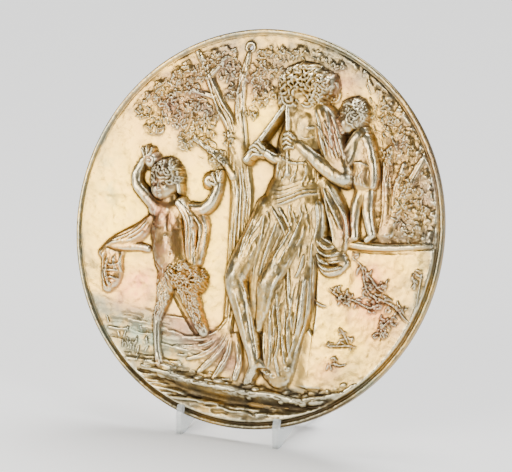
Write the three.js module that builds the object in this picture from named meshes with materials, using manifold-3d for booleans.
// A round cast-brass wall plaque with a pastoral scene in relief, standing in a clear plate stand.
// A goat-legged child dances on the left, a nymph leans on a block and plays two pipes, and a small
// child stands behind her. Millimetres, +Z up, +X to the viewer's right and +Y to the back. The origin
// is on the floor, under the middle of the whole.
import * as THREE from "three";
import { mergeVertices } from "three/addons/utils/BufferGeometryUtils.js";
import Module from "manifold-3d";

const wasm = await Module();
wasm.setup();

// --- driving dimensions ---

// the casting
const RADIUS = 170; // outer radius
const FIELD = 5; // thickness of the flat field between the figures
const RIM_WIDTH = 8; // raised border, measured in from the edge
const RIM_HEIGHT = 7.6; // top of the border above the back
const EDGE = 1; // rounding of the outer edge
const BACK_RECESS = 1.6; // depth of the shallow hollow in the back
const BACK_RING = 14; // flat ring left round that hollow
const DISC_SIDES = 64;
const HOLE_SIDES = 16;
const HOLE = { u: -24, v: 153, radius: 2.2 }; // nail hole near the top edge

// the relief
const ROOT = BACK_RECESS + 1; // the figures are carved no deeper than this
const RELIEF_RADIUS = RADIUS - 5; // nothing in relief lies further out
const GROUND = 7; // level of the ground the figures stand on
const HILL = 5.9; // level of the low hills behind
const BLOCK = 8.4; // level of the block's front face
const BUSH = 6.2; // level of the rough bank on the right

// the stand
const LEAN = THREE.MathUtils.degToRad(17); // how far the plaque leans back
const CLEARANCE = 9; // floor to the lowest point of the edge
const PLATE = 5; // thickness of the clear sheet
const PLATE_X = 45; // side plates, left and right of the middle
const GAP = 0.3; // working gap between pieces that touch
const LIP = 9; // height of the hook in front of the border
const POST = 5; // thickness of that hook and of the post below it
const REACH = 118; // how far the side plates run back on the floor
const ARM_TOP = 14; // top of the back arm, above the plaque's middle
const ARM_WIDTH = 12; // depth of the back arm near its top
// the cross bar, and how far it lies behind the hooks
const BAR = { length: 112, height: 24, bottom: 14, back: 66 };

// --- solids ---

function solid(geometry, matrix = new THREE.Matrix4()) {
  const plain = geometry.index ? geometry.toNonIndexed() : geometry.clone();
  plain.applyMatrix4(matrix);
  const merged = mergeVertices(
    new THREE.BufferGeometry().setAttribute("position", plain.getAttribute("position")),
    1e-3,
  );
  return new wasm.Manifold(
    new wasm.Mesh({
      numProp: 3,
      vertProperties: merged.attributes.position.array,
      triVerts: new Uint32Array(merged.index.array),
    }),
  );
}

function mesh(name, manifold, material) {
  const made = manifold.getMesh();
  const step = made.numProp;
  const position = new Float32Array(made.numVert * 3);
  for (let i = 0; i < made.numVert; i++) {
    position.set(made.vertProperties.subarray(i * step, i * step + 3), i * 3);
  }
  const geometry = new THREE.BufferGeometry()
    .setAttribute("position", new THREE.BufferAttribute(position, 3))
    .setIndex(new THREE.BufferAttribute(made.triVerts, 1));
  geometry.computeVertexNormals();
  const result = new THREE.Mesh(geometry, material);
  result.name = name;
  return result;
}

// A box by its lowest and highest corner.
function block(low, high) {
  const size = high.map((value, i) => value - low[i]);
  const centre = high.map((value, i) => (value + low[i]) / 2);
  return solid(new THREE.BoxGeometry(...size), new THREE.Matrix4().makeTranslation(...centre));
}

// A round bar along the face's z axis.
function drum(u, v, radius, low, high, sides) {
  const stand = new THREE.Matrix4().makeRotationX(Math.PI / 2);
  const place = new THREE.Matrix4().makeTranslation(u, v, (low + high) / 2).multiply(stand);
  return solid(new THREE.CylinderGeometry(radius, radius, high - low, sides), place);
}

// --- the casting: u to the right, v up the face, z out of the face ---

// The round plate, turned from a profile that runs from the middle of the back round the border to the field.
function disc() {
  const profile = [
    [0, BACK_RECESS],
    [RADIUS - BACK_RING - 3, BACK_RECESS],
    [RADIUS - BACK_RING, 0],
    [RADIUS - EDGE, 0],
    [RADIUS, EDGE],
    [RADIUS, RIM_HEIGHT - 2.2],
    [RADIUS - 1, RIM_HEIGHT - 0.6],
    [RADIUS - 3, RIM_HEIGHT],
    [RADIUS - 5.2, RIM_HEIGHT - 0.8],
    [RADIUS - RIM_WIDTH, FIELD],
    [0, FIELD],
  ].map(([r, z]) => new THREE.Vector2(r, z));
  const upright = new THREE.Matrix4().makeRotationX(Math.PI / 2);
  return solid(new THREE.LatheGeometry(profile, DISC_SIDES), upright);
}

// A limb through round joints [u, v, radius, crest], crest being its highest point above the back. Its rings
// stand at stations along the limb, narrow to a round end at both sides and are flattened in depth.
const STOUT = 7; // a limb thicker than this radius gets more sides and smoother bends
const SIDES = { stout: 8, slim: 6 };
const END_RING = 0.72; // how far out of the end joint its last ring lies, in radii

function limb(flat, ...joints) {
  const path = new THREE.CatmullRomCurve3(joints.map(([u, v, , crest]) => new THREE.Vector3(u, v, crest)));
  const spans = joints.length - 1;
  const stout = joints.some(([, , radius]) => radius > STOUT);
  const steps = stout ? 2 * spans : spans;
  const stations = Array.from({ length: steps + 1 }, (_, i) => {
    const share = i / steps;
    const k = Math.min(Math.floor(share * spans), spans - 1);
    const radius = THREE.MathUtils.lerp(joints[k][2], joints[k + 1][2], share * spans - k);
    return { point: path.getPoint(share), along: path.getTangent(share).setZ(0).normalize(), radius };
  });
  const [first, last] = [stations[0], stations.at(-1)].map(({ point, along, radius }, end) => ({
    point: point.clone().addScaledVector(along, (end ? 1 : -1) * END_RING * radius),
    along,
    radius: radius * Math.sqrt(1 - END_RING ** 2),
    depth: radius,
  }));
  const rings = [first, ...stations, last];
  const gaps = rings.length - 1;
  const geometry = new THREE.CylinderGeometry(1, 1, gaps, stout ? SIDES.stout : SIDES.slim, gaps);
  const position = geometry.getAttribute("position");
  for (let i = 0; i < position.count; i++) {
    const { point, along, radius, depth = radius } = rings[Math.round(position.getY(i) + gaps / 2)];
    const [out, side] = [position.getZ(i), position.getX(i)].map((value) => value * radius);
    const height = point.z + flat * (out - depth);
    position.setXYZ(i, point.x + side * along.y, point.y - side * along.x, height);
  }
  return solid(geometry);
}

// A rounded lump, such as a head or a clump of leaves.
const LUMP_GRID = [8, 5]; // its meridians and bands

function lump(u, v, width, height, crest, flat = 0.6) {
  const depth = Math.min(width, height) * flat;
  const place = new THREE.Matrix4().makeTranslation(u, v, crest - depth);
  place.scale(new THREE.Vector3(width, height, depth));
  return solid(new THREE.SphereGeometry(1, ...LUMP_GRID), place);
}

// A raised level with a smooth outline.
function level(height, ...points) {
  const outline = new THREE.Shape();
  outline.moveTo(...points[0]);
  outline.splineThru(points.slice(1).map(([u, v]) => new THREE.Vector2(u, v)));
  const up = { depth: height - ROOT, bevelEnabled: false, curveSegments: 3 };
  return solid(new THREE.ExtrudeGeometry(outline, up), new THREE.Matrix4().makeTranslation(0, 0, ROOT));
}

// Thin folds that run down between two edges, each edge a row of points from top to hem.
function folds(count, radius, crest, left, right) {
  const edges = [left, right].map((row) => row.map(([u, v]) => new THREE.Vector2(u, v)));
  return Array.from({ length: count }, (_, i) => {
    const share = (i + 0.5) / count;
    const path = edges[0].map((point, k) => point.clone().lerp(edges[1][k], share));
    return limb(0.8, ...path.map(({ x, y }, k) => [x, y, radius, crest - 0.4 * k]));
  });
}

// The goat-legged child, who dances with a small cymbal in each hand.
const goatChild = () => [
  limb(0.3, [-98, -6, 5, 8], [-118, -24, 8, 9], [-138, -34, 5, 8.4]), // cloth flying behind
  ...[-137, -129, -121].map((u, i) => limb(0.6, [u, -38, 4.5, 9.4], [u + 3, -62 + 5 * i, 4, 8.8])),
  limb(0.7, [-74, -50, 11, 13.5], [-75, -76, 6.5, 11.5], [-78, -88, 4, 10.6], [-72, -123, 3.4, 10.4]),
  limb(0.55, [-80, 10, 11, 13], [-77, -12, 17.5, 15.6], [-70, -42, 15, 15.4]),
  limb(0.5, [-69, 11, 4, 15.4], [-57, -10, 5, 14.5], [-50, -36, 4, 11.5]), // goat hide from the shoulder
  limb(0.65, [-66, -45, 13, 15.8], [-48, -52, 11, 15], [-43, -77, 6, 12.2], [-34, -93, 4, 10.5]),
  limb(0.75, [-90, 8, 7, 14], [-114, 29, 4.8, 13], [-107, 51, 3.8, 12.8]),
  limb(0.75, [-68, 8, 7, 13.5], [-48, 11, 5.4, 12.6], [-37, 35, 3.8, 12.2]),
  lump(-103, 49, 5.2, 5.2, 13.6, 0.4),
  lump(-44, 37, 5, 5, 12.4, 0.4),
  lump(-86, 34, 16, 17.5, 18.2, 0.62),
];

// The nymph's skirt and legs. Her far leg shows through thin cloth, and folds fall from her hip.
const nymphLower = () => [
  limb(0.38, [46, 18, 17, 14], [45, -60, 16, 12.6], [42, -112, 12, 11.6]),
  limb(0.4, [30, -40, 10, 11.5], [34, -116, 9, 11]),
  ...folds(5, 1.9, 14.6, [[36, -4], [27, -60], [28, -118]], [[60, -4], [60, -60], [51, -118]]),
  limb(0.62, [44, 14, 15, 15.2], [21, -46, 11, 17.4], [17, -80, 5, 12]),
  limb(0.4, [20, 14, 12, 13], [8, -34, 9, 11.6], [12, -66, 5, 10.6]),
  ...folds(3, 1.3, 14, [[16, 12], [0, -30], [6, -62]], [[30, 12], [18, -30], [14, -62]]),
  limb(0.66, [14, 15, 17, 15], [-8, -42, 11.5, 17.8], [4, -78, 8.4, 15.4], [19, -112, 4.8, 14]),
  limb(0.7, [20, -113, 5, 13.6], [13, -129, 3.4, 11]), // foot
  limb(0.7, [21, -113, 4.6, 13.2], [28, -118, 3.4, 11.6]), // raised heel
  limb(0.32, [34, 30, 27, 15.5], [31, 12, 29, 15.4]),
];

// Her body, bowed head and arms, the cloth that falls behind her elbow and the two pipes.
const nymphUpper = () => [
  limb(0.36, [34, 92, 17, 16.4], [33, 58, 20, 16.2], [36, 32, 26, 15.8]),
  limb(0.8, [8, 30, 2, 14], [24, 21, 2.6, 17.4], [60, 34, 2, 15]), // sash
  limb(0.8, [8, 36, 2, 14], [24, 27, 2.6, 17.4], [60, 40, 2, 15]),
  lump(18, 81, 8, 8, 17.4, 0.6),
  limb(0.45, [61, 44, 5, 13], [78, 12, 9, 12], [79, -16, 7, 11.6]),
  ...folds(3, 1.5, 13.6, [[62, 42], [68, 10], [72, -18]], [[68, 42], [88, 10], [87, -18]]),
  limb(0.6, [60, -6, 4, 13], [73, -24, 5, 13.4], [88, -20, 4, 12]), // gathered end of the cloth
  limb(0.62, [52, 101, 10.5, 16.4], [66, 76, 10.5, 16.8], [78, 53, 8, 17]),
  limb(0.72, [78, 52, 7.4, 17], [58, 60, 6.6, 17.8], [34, 75, 4.6, 18]),
  limb(0.7, [22, 60, 4.4, 14.6], [4, 66, 4.2, 16]),
  limb(0.9, [19, 107, 2, 16.8], [-9, 62, 2.9, 16], [-12, 57, 4, 16]), // first pipe
  limb(0.9, [21, 106, 1.8, 17.6], [28.5, 54, 2.6, 16.8], [29, 49, 3.8, 16.8]), // second pipe
  lump(0, 67, 6.5, 5.5, 17.4, 0.8),
  lump(28, 77, 7, 5.5, 19.2, 0.8),
  lump(19, 110, 9.5, 10.5, 16.8),
  lump(31, 124, 21, 18, 19.2),
  lump(46, 122, 11, 13, 18, 0.55),
];

// The small child who stands on the block behind her.
const smallChild = () => [
  limb(0.75, [94, 42, 6, 11.5], [91, 20, 4.6, 11], [93, 3, 3.6, 10.4]),
  limb(0.75, [100, 42, 6, 11.8], [103, 18, 4.8, 11.2], [107, 3, 3.4, 10.8]),
  limb(0.6, [88, 88, 8, 13], [92, 66, 10.5, 14.2], [95, 47, 10.5, 13.6]),
  limb(0.75, [93, 84, 5, 14], [102, 62, 4.2, 13.4], [104, 46, 2.8, 12]),
  limb(0.75, [86, 86, 5.4, 14.4], [80, 66, 4.2, 14.6], [72, 64, 3, 15]),
  lump(79, 103, 14, 14.5, 15.6, 0.62),
  lump(73, 94, 8.5, 8.5, 14.6, 0.62),
];

// The tree between the figures, its leaves, and the roots and stems of the bank on the right.
const trees = () => [
  limb(0.45, [-14, -112, 15, 8.3], [-11, -50, 11, 8.8], [-13, 25, 12, 9.4], [-24, 68, 10, 9.4]),
  limb(0.6, [-20, 62, 8, 9.4], [-46, 102, 5.4, 8.8], [-73, 145, 2, 7.2]),
  limb(0.6, [-19, 60, 7, 9.4], [-26, 100, 5, 8.8], [-24, 146, 2, 7.4]),
  limb(0.8, [-26, 46, 3.6, 8.8], [-66, 72, 1.6, 7.2]),
  limb(0.6, [120, 8, 6, 9.4], [113, 56, 4, 8.8]),
  limb(0.6, [121, 10, 6, 9.4], [148, 82, 2.6, 7.8]),
  ...[
    [-100, 110, 19],
    [-94, 92, 16],
    [-72, 100, 17],
    [-62, 74, 14],
    [-44, 138, 14],
    [-12, 122, 16],
    [-82, 124, 15],
  ].map(([u, v, size]) => lump(u, v, size, size * 0.85, 6.4, 0.2)),
];

// The front face of the block she leans on.
function blockFace() {
  const corners = [[66, -128], [65, -30], [60, -12], [78, -7], [172, 0], [172, -128]];
  const outline = new THREE.Shape(corners.map(([u, v]) => new THREE.Vector2(u, v)));
  const sheet = new THREE.ExtrudeGeometry(outline, { depth: BLOCK - ROOT, bevelEnabled: false });
  return solid(sheet, new THREE.Matrix4().makeTranslation(0, 0, ROOT));
}

// Hills, ground, block and bank, each a level of its own, and the ground's rough front edge.
const land = () => [
  level(HILL, [-175, -74], [-128, -76], [-86, -82], [-20, -92], [0, -96], [0, -185], [-175, -185]),
  level(GROUND, [-175, -122], [-98, -126], [-20, -131], [66, -127], [130, -100], [180, -60], [150, -128],
    [66, -141], [-20, -142], [-98, -136], [-175, -140]),
  limb(0.6, [-70, -132, 3, 8], [-20, -138, 4.4, 10.6], [50, -139, 4.4, 10.6], [104, -125, 3, 8.2]),
  limb(0.5, [-46, -154, 3, 6.8], [0, -158, 4, 7], [46, -154, 3, 6.8]),
  level(BUSH, [100, 148], [125, 118], [172, 80], [172, -4], [112, -2], [104, 6], [107, 60], [92, 120],
    [84, 140]),
  limb(0.6, [90, -4, 3.2, 9.8], [124, -3.5, 3.2, 10], [160, 2, 2, 8.4]), // ledge on the block
  blockFace(),
  limb(0.8, [98, -18, 1.4, 9.4], [116, -45, 1.6, 9.6], [150, -62, 1.3, 9.2]), // vine
  limb(0.8, [75, -42, 1.2, 9.2], [112, -53, 1.4, 9.4]),
  ...[[102, -48, 7], [116, -50, 7], [136, -70, 8]].map(([u, v, size]) => lump(u, v, size, size * 0.6, 9.4, 0.3)),
];

function casting() {
  const parts = [land, trees, goatChild, nymphLower, nymphUpper, smallChild].flatMap((make) => make());
  const within = drum(0, 0, RELIEF_RADIUS, ROOT, 30, DISC_SIDES);
  const hole = drum(HOLE.u, HOLE.v, HOLE.radius, -EDGE, RIM_HEIGHT + ROOT, HOLE_SIDES);
  return disc().add(wasm.Manifold.union(parts).intersect(within)).subtract(hole);
}

// --- the clear stand ---

const middle = CLEARANCE + RADIUS * Math.cos(LEAN); // height of the plaque's middle
const seat = -Math.sqrt(RADIUS ** 2 - (PLATE_X - PLATE / 2) ** 2) - GAP; // where the edge rests, down the face

// A point beside the plaque, y up its face and z out of it, as [back, up] in the stand's own plane.
const beside = (y, z) => [
  y * Math.sin(LEAN) - z * Math.cos(LEAN),
  middle + y * Math.cos(LEAN) + z * Math.sin(LEAN),
];

// One side plate: front foot, arched underside, rear foot, back arm, seat, hook and front post.
function sidePlate(side) {
  const hook = RIM_HEIGHT + GAP + 0.1;
  const front = beside(seat, hook + POST)[0];
  const rear = front + REACH;
  const outline = new THREE.Shape();
  outline.moveTo(front, 0);
  outline.lineTo(front + 8, 0);
  outline.quadraticCurveTo(front + 46, 18, rear - 24, 5);
  outline.quadraticCurveTo(rear - 18, 0, rear - 14, 0);
  outline.lineTo(rear, 0);
  outline.quadraticCurveTo(rear + 3, 8, rear - 8, 12);
  outline.quadraticCurveTo(...beside(seat + 22, -44), ...beside(seat + 70, -ARM_WIDTH - 6));
  outline.lineTo(...beside(ARM_TOP - 5, -ARM_WIDTH));
  outline.quadraticCurveTo(...beside(ARM_TOP, -ARM_WIDTH / 2), ...beside(ARM_TOP - 4, -GAP));
  outline.lineTo(...beside(seat, -GAP));
  outline.lineTo(...beside(seat, hook));
  outline.lineTo(...beside(seat + LIP - 2, hook));
  const hookTop = [beside(seat + LIP + 1, hook + POST / 2), beside(seat + LIP - 2, hook + POST)];
  outline.quadraticCurveTo(...hookTop.flat());
  outline.lineTo(...beside(seat - 1, hook + POST));
  const sheet = new THREE.ExtrudeGeometry(outline, { depth: PLATE, bevelEnabled: false, curveSegments: 8 });
  const across = new THREE.Matrix4().makeBasis(
    new THREE.Vector3(0, 1, 0),
    new THREE.Vector3(0, 0, 1),
    new THREE.Vector3(1, 0, 0),
  );
  return solid(sheet, across.setPosition(side * PLATE_X - PLATE / 2, 0, 0));
}

// The cross bar drops over the two side plates: its slots open downwards and theirs upwards.
function stand() {
  const near = beside(seat, RIM_HEIGHT + POST)[0] + BAR.back;
  const far = near + PLATE;
  const half = BAR.bottom + BAR.height / 2;
  const top = BAR.bottom + BAR.height;
  let bar = block([-BAR.length / 2, near, BAR.bottom], [BAR.length / 2, far, top]);
  const plates = [-1, 1].map((side) => {
    const inner = side * PLATE_X - PLATE / 2 - GAP;
    const outer = side * PLATE_X + PLATE / 2 + GAP;
    bar = bar.subtract(block([inner, near - 1, BAR.bottom - 1], [outer, far + 1, half]));
    const slot = block([inner - 1, near - GAP, half - GAP], [outer + 1, far + GAP, top + 20]);
    return sidePlate(side).subtract(slot);
  });
  return [...plates, bar];
}

// --- materials ---

const brass = new THREE.MeshStandardMaterial({ color: 0xb59a62, metalness: 1, roughness: 0.4 });
const clear = new THREE.MeshStandardMaterial({
  color: 0xe8eef0,
  metalness: 0,
  roughness: 0.08,
  transparent: true,
  opacity: 0.35,
});

// --- the whole ---

const group = new THREE.Group();
const plaque = mesh("plaque", casting(), brass);
plaque.position.set(0, 0, middle);
plaque.rotation.x = Math.PI / 2 - LEAN;
const [left, right, bar] = stand();
group.add(plaque, mesh("side_plate_left", left, clear), mesh("side_plate_right", right, clear));
group.add(mesh("cross_bar", bar, clear));

group.updateMatrixWorld(true);
const bounds = new THREE.Box3().setFromObject(group, true);
group.position.set(-(bounds.min.x + bounds.max.x) / 2, -(bounds.min.y + bounds.max.y) / 2, -bounds.min.z);

export default group;
